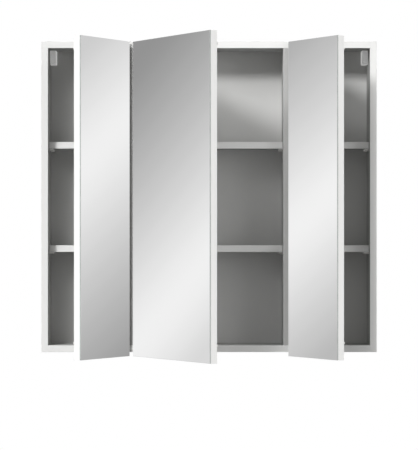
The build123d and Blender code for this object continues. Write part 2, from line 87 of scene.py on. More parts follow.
# Each side of the cabinet, -1 for left.
SIDES = (("left", -1), ("right", 1))

# The cosine past which a face counts as square to a direction.
SQUARE_ON = 0.999
SMOOTH_ANGLE = math.radians(35)
PLATE_SCREW_HEAD = 1.8 * MM
CUP_SCREW_HEAD = 1.0 * MM

# How much blue the whites keep, against their red and green.
WARMTH = 0.985
SEAM_COLOUR = (0.42, 0.42, 0.41, 1.0)
WHITE = (1.0, 1.0, 1.0, 1.0)

Corner = tuple[float, float, float]
Colour = tuple[float, float, float, float]
Socket = bpy.types.NodeSocket
Test = Callable[[Vector], bool]
Direction = Callable[[Vector], Vector]


def linear(shade: float) -> float:
    """Turn a display shade from 0 to 255 into linear light, by the sRGB standard's curve.

    Args:
        shade: the shade as a screen shows it.

    Returns:
        The linear value from 0 to 1.
    """
    share = shade / 255
    return share / 12.92 if share <= 0.04045 else ((share + 0.055) / 1.055) ** 2.4


def warm_grey(shade: float) -> Colour:
    """An opaque grey with a trace less blue than red and green."""
    return shade, shade, shade * WARMTH, 1.0


def scaled(colour: Sequence[float], share: float) -> Colour:
    """A colour made darker or lighter, and opaque.

    Args:
        colour: its linear red, green and blue come first.
        share: what each is multiplied by.

    Returns:
        The new colour.
    """
    red, green, blue = (min(1.0, channel * share) for channel in colour[:3])
    return red, green, blue, 1.0


class Nodes:
    """A node tree, with short calls for what the finishes and the studio need."""

    def __init__(self, tree: bpy.types.NodeTree) -> None:
        """Take up a tree.

        Args:
            tree: a material's or a world's node tree.
        """
        self.tree = tree

    def node(self, kind: str, inputs: dict[str, object] | None = None,
             **settings: object) -> bpy.types.Node:
        """Add a node.

        Args:
            kind: the node's type, without its ShaderNode prefix.
            inputs: values or output sockets for its inputs, by name.
            **settings: properties of the node.

        Returns:
            The new node.
        """
        made = self.tree.nodes.new("ShaderNode" + kind)
        for key, value in settings.items():
            setattr(made, key, value)
        for key, value in (inputs or {}).items():
            self.feed(made.inputs[key], value)
        return made

    def feed(self, socket: Socket, value: object) -> None:
        """Give a socket a value, or a link where the value is an output socket.

        Args:
            socket: the input socket.
            value: what it takes.
        """
        if isinstance(value, bpy.types.NodeSocket):
            self.tree.links.new(value, socket)
        else:
            socket.default_value = value

    def work_out(self, operation: str, *values: Socket | float) -> Socket:
        """The result of one step of arithmetic.

        Args:
            operation: the Math node's operation.
            *values: its inputs in order.

        Returns:
            The result's socket.
        """
        step = self.node("Math", operation=operation)
        for socket, value in zip(step.inputs, values):
            self.feed(socket, value)
        return step.outputs[0]

    def near(self, value: Socket, middle: float, reach: float) -> Socket:
        """One where a value lies within reach of the middle, and nought elsewhere."""
        return self.work_out("COMPARE", value, middle, reach)

    def times(self, first: Socket, second: Socket | float) -> Socket:
        """The product of two values."""
        return self.work_out("MULTIPLY", first, second)

    def spread(self, value: Socket, low: float, high: float,
               start: float = 0.3, end: float = 0.7) -> Socket:
        """Stretch a pattern's middle range over two values.

        Args:
            value: the pattern.
            low: result where the pattern is at start.
            high: result where the pattern is at end.
            start: low end of the pattern's range.
            end: high end of the pattern's range.

        Returns:
            The stretched value's socket.
        """
        inputs = {"Value": value, "From Min": start, "From Max": end, "To Min": low, "To Max": high}
        return self.node("MapRange", inputs).outputs["Result"]


class Graph(Nodes):
    """A material's node tree, with its patterns."""

    def __init__(self, name: str) -> None:
        """Start a material with a bare Principled shader.

        Args:
            name: the material's name.
        """
        self.material = bpy.data.materials.new(name)
        self.material.use_nodes = True
        super().__init__(self.material.node_tree)
        self.shader = self.tree.nodes["Principled BSDF"]

    def place(self, stretch: Corner = (1.0, 1.0, 1.0)) -> Socket:
        """Object coordinates, stretched.

        Args:
            stretch: scale of the pattern along each axis.

        Returns:
            The vector socket.
        """
        mapping = self.node("Mapping", {"Vector": self.node("TexCoord").outputs["Object"]})
        mapping.inputs["Scale"].default_value = stretch
        return mapping.outputs["Vector"]

    def noise(self, vector: Socket, scale: float, detail: float = 2.0) -> Socket:
        """A noise pattern's value.

        Args:
            vector: the coordinates.
            scale: how fine it is.
            detail: how many finer layers it has.

        Returns:
            The value's socket.
        """
        inputs = {"Vector": vector, "Scale": scale, "Detail": detail}
        return self.node("TexNoise", inputs).outputs["Fac"]

    def shade_between(self, share: Socket, first: Socket | Colour, second: Colour) -> Socket:
        """Mix two colours by a pattern.

        Args:
            share: 0 for the first colour, 1 for the second.
            first: a linear colour.
            second: a linear colour.

        Returns:
            The colour socket.
        """
        mix = self.node("Mix", data_type="RGBA")
        colour_inputs = [socket for socket in mix.inputs if socket.type == "RGBA"]
        self.feed(mix.inputs["Factor"], share)
        self.feed(colour_inputs[0], first)
        self.feed(colour_inputs[1], second)
        return next(socket for socket in mix.outputs if socket.type == "RGBA")

    def mottle(self, pattern: Socket, first: Colour, second: Colour) -> None:
        """Colour the surface in two colours that follow a pattern.

        Args:
            pattern: the pattern.
            first: the colour where it is low.
            second: the colour where it is high.
        """
        colour = self.shade_between(self.spread(pattern, 0.0, 1.0), first, second)
        self.feed(self.shader.inputs["Base Color"], colour)

    def roughen(self, pattern: Socket, roughness: tuple[float, float]) -> None:
        """Let the roughness follow a pattern between two values."""
        self.feed(self.shader.inputs["Roughness"], self.spread(pattern, *roughness))

    def bump(self, height: Socket, depth: float, strength: float) -> None:
        """Press a height pattern into the surface.

        Args:
            height: the pattern.
            depth: how far its highest point stands up, in metres.
            strength: how much of it shows.
        """
        pressed = self.node("Bump", {"Height": height, "Distance": depth, "Strength": strength})
        self.feed(self.shader.inputs["Normal"], pressed.outputs["Normal"])

    def glow(self, inputs: dict[str, object]) -> None:
        """Make the surface a plain glow, with no other shading.

        Args:
            inputs: values or output sockets for the glow's colour or strength, by name.
        """
        light = self.node("Emission", inputs)
        output = self.tree.nodes["Material Output"]
        self.tree.links.new(light.outputs[0], output.inputs["Surface"])


@dataclass(frozen=True)
class Inside:
    """Where boards get a painted shade, a grey standing in for the shade inside the compartments,
    behind their white front edge band.
    """

    half_width: float
    low: float
    high: float
    front: float
    band: float = 1.0 * MM
    line: float = 0.08 * MM
    line_weight: float = 0.5

    def parts(self, graph: Graph) -> bpy.types.Node:
        """The object coordinates, apart."""
        return graph.node("SeparateXYZ", {"Vector": graph.place()})

    def share(self, graph: Graph) -> Socket:
        """One where the painted shade goes, within the compartments, and nought outside them.

        Args:
            graph: the material's nodes.

        Returns:
            The share's socket.
        """
        place = self.parts(graph).outputs
        middle, reach = (self.low + self.high) / 2, (self.high - self.low) / 2
        across = graph.near(place["X"], 0.0, self.half_width)
        upright = graph.near(place["Z"], middle, reach)
        behind = graph.work_out("GREATER_THAN", place["Y"], self.front + self.band)
        return graph.times(graph.times(across, upright), behind)

    def seam(self, graph: Graph) -> Socket:
        """The hair line where the front edge band meets the board's facing.

        Args:
            graph: the material's nodes.

        Returns:
            The socket of the line's share of the colour.
        """
        place = self.parts(graph).outputs
        line = graph.near(place["Y"], self.front + self.band, self.line)
        return graph.times(line, self.line_weight)


@dataclass(frozen=True)
class Foil:
    """White foil on particle board, with a faint pebble and slight clouds, and grey painted shade
    inside.
    """

    name: str
    shade: float = 0.81
    unevenness: float = 0.012
    roughness: tuple[float, float] = (0.36, 0.46)
    pebble_scale: float = 1400.0
    pebble_depth: float = 0.04 * MM
    pebble_strength: float = 0.35
    cloud_scale: float = 5.0
    cloud_detail: float = 3.0
    painted_inner_shade: float = 0.44
    gloss: float = 0.0
    inside: Inside | None = None

    def material(self) -> bpy.types.Material:
        """Build the material.

        Returns:
            The material.
        """
        graph = Graph(self.name)
        place = graph.place()
        cloud = graph.noise(place, self.cloud_scale, self.cloud_detail)
        bright = warm_grey(self.shade)
        dull = scaled(bright, 1 - self.unevenness)
        colour = graph.shade_between(graph.spread(cloud, 0.0, 1.0), bright, dull)
        # Inside the compartments the colour turns to a grey painted shade; the seam line is a real
        # dark joint.
        if self.inside:
            inner = warm_grey(self.painted_inner_shade)
            colour = graph.shade_between(self.inside.share(graph), colour, inner)
            colour = graph.shade_between(self.inside.seam(graph), colour, SEAM_COLOUR)
        graph.feed(graph.shader.inputs["Base Color"], colour)
        graph.roughen(cloud, self.roughness)
        graph.shader.inputs["Specular IOR Level"].default_value = self.gloss
        pebble = graph.noise(place, self.pebble_scale)
        graph.bump(pebble, self.pebble_depth, self.pebble_strength)
        return graph.material


@dataclass(frozen=True)
class Metal:
    """Plated or cast metal, with fine brushing or grain in its roughness."""

    name: str
    colour: Corner
    roughness: tuple[float, float]
    grain_scale: float
    grain_depth: float
    stretch: Corner = (1.0, 1.0, 1.0)
    grain_detail: float = 4.0
    grain_strength: float = 0.5
    worn_share: float = 0.9

    def material(self) -> bpy.types.Material:
        """Build the material.

        Returns:
            The material.
        """
        graph = Graph(self.name)
        place = graph.place(self.stretch)
        grain = graph.noise(place, self.grain_scale, self.grain_detail)
        graph.shader.inputs["Metallic"].default_value = 1.0
        graph.mottle(grain, (*self.colour, 1.0), scaled(self.colour, self.worn_share))
        graph.roughen(grain, self.roughness)
        graph.bump(grain, self.grain_depth, self.grain_strength)
        return graph.material


@dataclass(frozen=True)
class Moulding:
    """Moulded plastic or rubber with a fine spark-eroded grain."""

    name: str
    colour: Corner
    roughness: tuple[float, float] = (0.45, 0.58)
    grain_scale: float = 2600.0
    grain_depth: float = 0.03 * MM
    grain_strength: float = 0.6
    flow_scale: float = 60.0
    pale_share: float = 1.04
    gloss: float = 0.5
    pearl: float = 0.0

    def material(self) -> bpy.types.Material:
        """Build the material.

        Returns:
            The material.
        """
        graph = Graph(self.name)
        place = graph.place()
        grain = graph.noise(place, self.grain_scale)
        flow = graph.noise(place, self.flow_scale)
        graph.mottle(flow, (*self.colour, 1.0), scaled(self.colour, self.pale_share))
        graph.roughen(grain, self.roughness)
        graph.shader.inputs["Specular IOR Level"].default_value = self.gloss
        graph.shader.inputs["Metallic"].default_value = self.pearl
        graph.bump(grain, self.grain_depth, self.grain_strength)
        return graph.material


@dataclass(frozen=True)
class Beech:
    """Fluted beech with its grain along the dowel."""

    name: str = "dowel_beech"
    pale: Corner = (0.60, 0.42, 0.25)
    dark: Corner = (0.42, 0.27, 0.14)
    grain_stretch: Corner = (20.0, 700.0, 700.0)
    grain_detail: float = 4.0
    grain_depth: float = 0.1 * MM
    grain_strength: float = 0.5
    roughness: float = 0.7

    def material(self) -> bpy.types.Material:
        """Build the material.

        Returns:
            The material.
        """
        graph = Graph(self.name)
        grain = graph.noise(graph.place(self.grain_stretch), 1.0, self.grain_detail)
        graph.mottle(grain, (*self.pale, 1.0), (*self.dark, 1.0))
        graph.shader.inputs["Roughness"].default_value = self.roughness
        graph.bump(grain, self.grain_depth, self.grain_strength)
        return graph.material


@dataclass(frozen=True)
class Silvering:
    """The mirrored face: silver behind clear glass, all but perfectly smooth."""

    name: str = "mirror_silver"
    reflectance: float = 0.93
    dim_share: float = 0.997
    roughness: tuple[float, float] = (0.0, 0.012)
    haze_scale: float = 14.0
    haze_detail: float = 3.0

    def material(self) -> bpy.types.Material:
        """Build the material.

        Returns:
            The material.
        """
        graph = Graph(self.name)
        haze = graph.noise(graph.place(), self.haze_scale, self.haze_detail)
        clear = scaled((1.0, 1.0, 1.0), self.reflectance)
        graph.shader.inputs["Metallic"].default_value = 1.0
        graph.mottle(haze, clear, scaled(clear, self.dim_share))
        graph.roughen(haze, self.roughness)
        return graph.material


@dataclass(frozen=True)
class GlassEdge:
    """The ground and polished edge of the glass, faintly green and darker than the board."""

    name: str = "glass_edge"
    deep: Corner = (0.38, 0.40, 0.39)
    light: Corner = (0.48, 0.50, 0.49)
    roughness: tuple[float, float] = (0.12, 0.3)
    streak_stretch: Corner = (900.0, 900.0, 60.0)
    streak_detail: float = 3.0
    coat: float = 0.5
    coat_roughness: float = 0.08

    def material(self) -> bpy.types.Material:
        """Build the material.

        Returns:
            The material.
        """
        graph = Graph(self.name)
        streak = graph.noise(graph.place(self.streak_stretch), 1.0, self.streak_detail)
        graph.mottle(streak, (*self.deep, 1.0), (*self.light, 1.0))
        graph.roughen(streak, self.roughness)
        graph.shader.inputs["Coat Weight"].default_value = self.coat
        graph.shader.inputs["Coat Roughness"].default_value = self.coat_roughness
        return graph.material


class FinishKind(Enum):
    """The finishes of the cabinet, each named as its slot in the record."""

    WHITE_BOARD = "white_board"
    BACK_BOARD = "back_board"
    MIRROR_GLASS = "mirror_glass"
    NICKEL_STEEL = "nickel_steel"
    SCREW_STEEL = "screw_steel"
    ZINC_STEEL = "zinc_steel"
    CAST_ZINC = "cast_zinc"
    COVER_PLASTIC = "cover_plastic"
    BUMPER_RUBBER = "bumper_rubber"
    DOWEL_BEECH = "dowel_beech"


@dataclass(frozen=True)
class Paintbox:
    """Every material of the cabinet, made once.

    The slots hold one for each finish of the record. The endings hold those of the boards and
    pins that differ from the rest of their slot, by how their names end.
    """

    slots: dict[FinishKind, bpy.types.Material]
    endings: dict[str, bpy.types.Material]
    silver: bpy.types.Material
    glass_edge: bpy.types.Material
    backing: bpy.types.Material

    @classmethod
    def mix(cls) -> Paintbox:
        """Build the materials.

        Returns:
            The full paintbox.
        """
        side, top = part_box("left_side_panel"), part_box("top_panel")
        bottom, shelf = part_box("bottom_panel"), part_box("left_upper_shelf")
        compartments = (-side[1][0], bottom[1][2], top[0][2])
        # Where the painted shade goes inside the compartments, for the carcass boards and for the
        # shelves.
        framed, shelved = Inside(*compartments, side[0][1]), Inside(*compartments, shelf[0][1])
        slots = {
            FinishKind.WHITE_BOARD: Foil("white_foil", inside=framed),
            # The back board's grey is painted shade, for the shade deep inside the compartments.
            FinishKind.BACK_BOARD: Foil("back_board_painted_shade", shade=0.61, roughness=(0.55, 0.68)),
            FinishKind.MIRROR_GLASS: Silvering("silver_rest"),
            FinishKind.NICKEL_STEEL: Metal("nickel", (0.56, 0.55, 0.52), (0.2, 0.34),
                                           260.0, 0.01 * MM),
            FinishKind.SCREW_STEEL: Metal("screw_zinc", (0.56, 0.56, 0.54), (0.25, 0.45),
                                          900.0, 0.02 * MM),
            FinishKind.ZINC_STEEL: Metal("sheet_zinc", (0.6, 0.61, 0.62), (0.3, 0.5),
                                         120.0, 0.01 * MM, (1.0, 1.0, 6.0)),
            FinishKind.CAST_ZINC: Metal("cast_zinc", (0.5, 0.5, 0.51), (0.42, 0.6),
                                        1800.0, 0.05 * MM),
            FinishKind.COVER_PLASTIC: Moulding("cover_plastic", (0.80, 0.80, 0.79), (0.42, 0.52),
                                               pearl=0.32),
            FinishKind.BUMPER_RUBBER: Moulding("bumper_soft", (0.78, 0.78, 0.75), (0.3, 0.4)),
            FinishKind.DOWEL_BEECH: Beech(),
        }
        endings = {
            "_shelf": Foil("shelf_foil", inside=shelved),
            # The partitions are greyed all over as painted shade, for the shadow of the doors on
            # their front edges.
            "_partition": Foil("partition_painted_shade", shade=0.47, inside=framed),
            "_door_panel": Foil("door_foil", shade=0.92, gloss=0.06),
            # Zinc shelf pins, darkened with painted shade so they sink into the shade under the
            # shelves.
            "shelf_pins": Metal("pin_zinc_painted_shade", (0.24, 0.24, 0.23), (0.5, 0.65), 900.0, 0.02 * MM),
        }
        return cls(slots={kind: recipe.material() for kind, recipe in slots.items()},
                   endings={ending: recipe.material() for ending, recipe in endings.items()},
                   silver=Silvering().material(), glass_edge=GlassEdge().material(),
                   backing=Moulding("mirror_back_paint", (0.30, 0.31, 0.31)).material())

    def dress(self, piece: bpy.types.Object, kind: FinishKind) -> None:
        """Give a piece one finish all over.

        Args:
            piece: the mesh object.
            kind: the finish of its slot, used where its name has none of the endings.
        """
        own = [paint for ending, paint in self.endings.items() if piece.name.endswith(ending)]
        piece.data.materials.clear()
        piece.data.materials.append(own[0] if own else self.slots[kind])


def deselect() -> None:
    """Leave object mode with nothing selected."""
    if bpy.context.object and bpy.context.object.mode != "OBJECT":
        bpy.ops.object.mode_set(mode="OBJECT")
    bpy.ops.object.select_all(action="DESELECT")


def take_up(piece: bpy.types.Object) -> None:
    """Select a piece alone, for the next operators to act on.

    Args:
        piece: the mesh object.
    """
    deselect()
    piece.select_set(True)
    bpy.context.view_layer.objects.active = piece


@contextmanager
def editing(piece: bpy.types.Object, by: str) -> Iterator[bmesh.types.BMesh]:
    """Open a piece in edit mode with nothing selected, and close it afterwards.

    Args:
        piece: the mesh object.
        by: what is selected in it, EDGE or FACE.

    Yields:
        Its edit mesh.
    """
    take_up(piece)
    bpy.ops.object.mode_set(mode="EDIT")
    bpy.ops.mesh.select_all(action="DESELECT")
    bpy.ops.mesh.select_mode(type=by)
    yield bmesh.from_edit_mesh(piece.data)
    bpy.ops.object.mode_set(mode="OBJECT")


def settle(piece: bpy.types.Object) -> None:
    """Move a piece's place, turn and scale into its mesh."""
    take_up(piece)
    bpy.ops.object.transform_apply(location=True, rotation=True, scale=True)


def start_block(name: str, low: Sequence[float], high: Sequence[float]) -> bpy.types.Object:
    """Start a piece as a block between two corners.

    Args:
        name: the piece's name.
        low: its lowest corner.
        high: its highest corner.

    Returns:
        The object, its place in its mesh.
    """
    deselect()
    first, last = Vector(low), Vector(high)
    bpy.ops.mesh.primitive_cube_add(size=1.0, location=(first + last) / 2)
    piece = bpy.context.object
    piece.name = name
    piece.scale = last - first
    settle(piece)
    return piece


def finish_with(piece: bpy.types.Object, kind: str, **settings: object) -> None:
    """Add a modifier to a piece and apply it.

    Args:
        piece: the mesh object.
        kind: the modifier's type.
        **settings: the modifier's properties.
    """
    take_up(piece)
    modifier = piece.modifiers.new(kind.lower(), kind)
    for key, value in settings.items():
        setattr(modifier, key, value)
    bpy.ops.object.modifier_apply(modifier=modifier.name)


def smooth(piece: bpy.types.Object) -> None:
    """Shade a piece's rounded edges smoothly and its corners sharply."""
    take_up(piece)
    bpy.ops.object.shade_smooth_by_angle(angle=SMOOTH_ANGLE)


def pick_faces(mesh: bmesh.types.BMesh, test: Test) -> None:
    """Select the faces whose outward direction passes a test."""
    for face in mesh.faces:
        face.select_set(test(face.normal))


def pick_edges(mesh: bmesh.types.BMesh, test: Test) -> None:
    """Select the edges whose middle passes a test."""
    for edge in mesh.edges:
        edge.select_set(test((edge.verts[0].co + edge.verts[1].co) / 2))


class Maker(Protocol):
    """What models one new piece and puts it in its place."""

    def build(self) -> bpy.types.Object:
        """Model the piece."""

    def dress(self, piece: bpy.types.Object, paints: Paintbox) -> None:
        """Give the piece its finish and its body."""


def put_in(maker: Maker, paints: Paintbox) -> None:
    """Model a piece, dress it and keep it out of the mirrors.

    Args:
        maker: what models it.
        paints: the materials.
    """
    piece = maker.build()
    maker.dress(piece, paints)
    piece.visible_glossy = False
    LOG.info("new piece %s", piece.name)


@dataclass
class DoorFace:
    """One mirrored door: where its glass lies, read from the frame in the door's own axes."""

    name: str
    way: int
    arris: float = 0.5 * MM
    back_arris: float = 0.2 * MM

    @property
    def turn(self) -> float:
        """The angle by which the open door is turned from shut."""
        return -self.way * REST_OPENING

    def extent(self) -> tuple[Vector, Vector]:
        """Measure the glass.

        Returns:
            Its lowest and highest corner, in the axes of the shut door.
        """
        back = Matrix.Rotation(-self.turn, 3, "Z")
        node = bpy.data.objects[f"{self.name}_door_mirror"]
        points = [back @ vertex.co for vertex in node.data.vertices]
        low = Vector(min(point[axis] for point in points) for axis in range(3))
        high = Vector(max(point[axis] for point in points) for axis in range(3))
        return low, high

    def build(self) -> bpy.types.Object:
        """Cut the glass sheet and grind its edges.

        Returns:
            The glass, in its place on the open door.
        """
        low, high = self.extent()
        glass = start_block(f"{self.name}_mirror_glass", low, high)
        with editing(glass, "EDGE") as mesh:
            pick_edges(mesh, lambda middle: abs(middle.y - low.y) < self.back_arris)
            bpy.ops.mesh.bevel(offset=self.arris, segments=2, affect="EDGES")
        with editing(glass, "EDGE") as mesh:
            pick_edges(mesh, lambda middle: abs(middle.y - high.y) < self.back_arris)
            bpy.ops.mesh.bevel(offset=self.back_arris, segments=1, affect="EDGES")
        glass.rotation_euler = (0, 0, self.turn)
        settle(glass)
        return glass

    def dress(self, piece: bpy.types.Object, paints: Paintbox) -> None:
        """Silver the front, polish the edges and paint the back.

        Args:
            piece: the glass.
            paints: the materials.
        """
        facing = Matrix.Rotation(self.turn, 3, "Z") @ Vector((0, -1, 0))
        piece.data.materials.clear()
        for material in (paints.silver, paints.glass_edge, paints.backing):
            piece.data.materials.append(material)
        for face in piece.data.polygons:
            toward = face.normal.dot(facing)
            face.material_index = 0 if toward > SQUARE_ON else 2 if toward < -SQUARE_ON else 1
        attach(piece, f"{self.name}_door")
        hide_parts(f"{self.name}_door_mirror")


@dataclass
class HangerCover:
    """The snap-on cover over a hanger, a plain moulded shell open to the side and the back."""

    side: str
    way: int
    wall: float = 1.2 * MM
    corner_round: float = 2.2 * MM
    panel_inset: float = 1.8 * MM
    panel_depth: float = 0.35 * MM

    def build(self) -> bpy.types.Object:
        """Mould the shell.

        Returns:
            The cover, against the side, the top and the back.
        """
        low, high = (Vector(corner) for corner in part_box(f"{self.side}_hanger_cover"))
        cover = start_block(f"{self.side}_moulded_cover", low, high)
        inner_x = low.x if self.way > 0 else high.x
        slack = self.wall / 10

        def free_corner(middle: Vector) -> bool:
            """Tell whether an edge lies between two of the sides that touch nothing.

            Args:
                middle: the edge's middle.

            Returns:
                True where it does.
            """
            touching = (abs(middle.x - inner_x) < slack, abs(middle.y - low.y) < slack,
                        abs(middle.z - low.z) < slack)
            return sum(touching) >= 2

        with editing(cover, "EDGE") as mesh:
            pick_edges(mesh, free_corner)
            bpy.ops.mesh.bevel(offset=self.corner_round, segments=4, affect="EDGES")
        with editing(cover, "FACE") as mesh:
            pick_faces(mesh, lambda normal: normal.y < -SQUARE_ON)
            bpy.ops.mesh.inset(thickness=self.panel_inset)
            bpy.ops.transform.translate(value=(0, self.panel_depth, 0))
        with editing(cover, "FACE") as mesh:
            pick_faces(mesh, lambda normal: normal.y > SQUARE_ON or normal.z > SQUARE_ON
                       or self.way * normal.x > SQUARE_ON)
            bpy.ops.mesh.delete(type="FACE")
        finish_with(cover, "SOLIDIFY", thickness=self.wall, offset=-1.0)
        smooth(cover)
        return cover

    def dress(self, piece: bpy.types.Object, paints: Paintbox) -> None:
        """Give the cover its grained plastic and put it in the solid's place.

        Args:
            piece: the cover.
            paints: the materials.
        """
        paints.dress(piece, FinishKind.COVER_PLASTIC)
        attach(piece, "cabinet")
        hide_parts(f"{self.side}_hanger_cover")


@dataclass
class ArmCap:
    """The stamped cap clipped over the two screws of a hinge arm."""

    door: str
    way: int
    level: int
    length: float = 20.6 * MM
    thickness: float = 2.4 * MM
    side_inset: float = 0.4 * MM
    rear_inset: float = 0.4 * MM
    rear_reach: float = 1.0 * MM
    edge_round: float = 1.2 * MM
    rib_inset: float = 2.4 * MM
    rib_height: float = 0.4 * MM
    sheet: float = 0.5 * MM

    def build(self) -> bpy.types.Object:
        """Stamp the cap over the arm's web.

        Returns:
            The cap, on its arm.
        """
        arms = bpy.data.objects[f"{self.door}_hinge_arms"]
        points = [vertex.co for vertex in arms.data.vertices]
        middle = (min(point.z for point in points) + max(point.z for point in points)) / 2
        own = [point for point in points if (point.z > middle) == (self.level > 0)]
        rear = max(point.y for point in own)
        web = [point for point in own if point.y > rear - self.rear_reach]
        top = max(web, key=lambda point: self.way * point.x).x
        outer = top + self.way * self.thickness
        first = Vector((min(top, outer), rear - self.rear_inset - self.length,
                        min(point.z for point in own) + self.side_inset))
        last = Vector((max(top, outer), rear - self.rear_inset,
                       max(point.z for point in own) - self.side_inset))
        storey = "upper" if self.level == UPPER else "lower"
        cap = start_block(f"{self.door}_{storey}_arm_cap", first, last)
        with editing(cap, "EDGE") as mesh:
            pick_edges(mesh, lambda point: abs(point.x - top) > self.thickness / 10)
            bpy.ops.mesh.bevel(offset=self.edge_round, segments=3, affect="EDGES")
        with editing(cap, "FACE") as mesh:
            pick_faces(mesh, lambda normal: self.way * normal.x > SQUARE_ON)
            bpy.ops.mesh.inset(thickness=self.rib_inset)
            bpy.ops.transform.translate(value=(self.way * self.rib_height, 0, 0))
        with editing(cap, "FACE") as mesh:
            pick_faces(mesh, lambda normal: self.way * normal.x < -SQUARE_ON)
            bpy.ops.mesh.delete(type="FACE")
        finish_with(cap, "SOLIDIFY", thickness=self.sheet, offset=-1.0)
        smooth(cap)
        return cap

    def dress(self, piece: bpy.types.Object, paints: Paintbox) -> None:
        """Nickel the cap and fix it to the cabinet.

        Args:
            piece: the cap.
            paints: the materials.
        """
        paints.dress(piece, FinishKind.NICKEL_STEEL)
        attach(piece, "cabinet")


@dataclass
class CrossScrews:
    """Countersunk wood screws with cross recesses, in the places of a node's plain ones."""

    node: str
    body: str
    head_height: float
    outward: Direction
    head_radius: float = 3.5 * MM
    stem_radius: float = 1.75 * MM
    length: float = 12.0 * MM
    tip: float = 3.0 * MM
    tip_share: float = 0.15
    rim: float = 0.15 * MM
    recess_length: float = 3.8 * MM
    recess_width: float = 0.9 * MM
    recess_depth: float = 0.9 * MM
    recess_taper: float = 0.55
    sides: int = 28
    weld: float = 0.001 * MM

    def islands(self) -> list[list[Vector]]:
        """Part the node's mesh into its separate screws.

        Returns:
            The corner points of each screw.
        """
        mesh = bpy.data.objects[self.node].data
        copy = bmesh.new()
        copy.from_mesh(mesh)
        bmesh.ops.remove_doubles(copy, verts=copy.verts, dist=self.weld)
        groups, seen = [], set()
        for start in copy.verts:
            if start in seen:
                continue
            group, waiting = [], [start]
            seen.add(start)
            while waiting:
                vertex = waiting.pop()
                group.append(vertex.co.copy())
                for edge in vertex.link_edges:
                    other = edge.other_vert(vertex)
                    if other not in seen:
                        seen.add(other)
                        waiting.append(other)
            groups.append(group)
        copy.free()
        return groups

    def turn_one(self) -> bpy.types.Object:
        """Turn a single screw, its head's top at the origin and its tip below.

        Returns:
            The screw.
        """
        deselect()
        bpy.ops.mesh.primitive_cylinder_add(vertices=self.sides, radius=self.head_radius,
                                            depth=self.head_height,
                                            location=(0, 0, -self.head_height / 2))
        screw = bpy.context.object
        settle(screw)
        shrink = self.stem_radius / self.head_radius
        stem = self.length - self.head_height - self.tip
        with editing(screw, "FACE") as mesh:
            pick_faces(mesh, lambda normal: normal.z < -SQUARE_ON)
            bpy.ops.transform.resize(value=(shrink, shrink, 1))
            for reach, scale in ((stem, 1.0), (self.tip, self.tip_share)):
                down = {"value": (0, 0, -reach)}
                bpy.ops.mesh.extrude_region_move(TRANSFORM_OT_translate=down)
                bpy.ops.transform.resize(value=(scale, scale, 1))
        with editing(screw, "EDGE") as mesh:
            pick_edges(mesh, lambda middle: middle.z > -self.rim)
            bpy.ops.mesh.bevel(offset=self.rim, segments=2, affect="EDGES")
        half = Vector((self.recess_length, self.recess_width, 2 * self.recess_depth)) / 2
        for bar in (half, half.yxz):
            self.cut_recess(screw, bar)
        smooth(screw)
        return screw

    def cut_recess(self, screw: bpy.types.Object, half: Vector) -> None:
        """Cut one bar of the cross into a screw's head.

        Args:
            screw: the screw.
            half: half the bar's size each way.
        """
        cutter = start_block("recess", -half, half)
        with editing(cutter, "FACE") as mesh:
            pick_faces(mesh, lambda normal: normal.z < -SQUARE_ON)
            bpy.ops.transform.resize(value=(self.recess_taper, self.recess_taper, 1))
        finish_with(screw, "BOOLEAN", object=cutter, operation="DIFFERENCE", solver="EXACT")
        bpy.data.objects.remove(cutter, do_unlink=True)

    def set_copy(self, pattern: bpy.types.Object, points: list[Vector]) -> bpy.types.Object:
        """Set a copy of a screw in one place.

        Args:
            pattern: the screw.
            points: the corner points of the plain screw there.

        Returns:
            The copy.
        """
        out = self.outward(sum(points, Vector()) / len(points))
        first = out.orthogonal().normalized()
        second = out.cross(first)
        spans = [(min(point.dot(axis) for point in points)
                  + max(point.dot(axis) for point in points)) / 2 for axis in (first, second)]
        top = max(point.dot(out) for point in points)
        copy = pattern.copy()
        copy.data = pattern.data.copy()
        bpy.context.scene.collection.objects.link(copy)
        copy.location = first * spans[0] + second * spans[1] + out * top
        copy.rotation_euler = out.to_track_quat("Z", "Y").to_euler()
        settle(copy)
        return copy

    def build(self) -> bpy.types.Object:
        """Set a copy of the screw in each place.

        Returns:
            All the node's screws as one piece.
        """
        pattern = self.turn_one()
        copies = [self.set_copy(pattern, points) for points in self.islands()]
        bpy.data.objects.remove(pattern, do_unlink=True)
        take_up(copies[0])
        for copy in copies:
            copy.select_set(True)
        bpy.ops.object.join()
        piece = bpy.context.object
        piece.name = f"{self.node}_crossed"
        return piece

    def dress(self, piece: bpy.types.Object, paints: Paintbox) -> None:
        """Plate the screws and put them in the solids' place.

        Args:
            piece: the screws.
            paints: the materials.
        """
        paints.dress(piece, FinishKind.SCREW_STEEL)
        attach(piece, self.body)
        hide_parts(self.node)


def away_from_partition(place: Vector) -> Vector:
    """The way a mounting plate faces: out of the partition face that it is screwed to.

    Args:
        place: a point on one of its screws.

    Returns:
        A unit direction.
    """
    for side, _ in SIDES:
        low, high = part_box(f"{side}_partition")
        middle = (low[0] + high[0]) / 2
        if abs(place.x - middle) < (high[0] - low[0]) * 2:
            return Vector((1 if place.x > middle else -1, 0, 0))
    raise ValueError("no partition near this screw")


def behind_door(way: int) -> Direction:
    """The way the cup screws of an open door face: out of its back.

    Args:
        way: the side of its partition that carries its hinges.

    Returns:
        A function that gives this unit direction for any place.
    """
    behind = Matrix.Rotation(-way * REST_OPENING, 3, "Z") @ Vector((0, 1, 0))
    return lambda place: behind


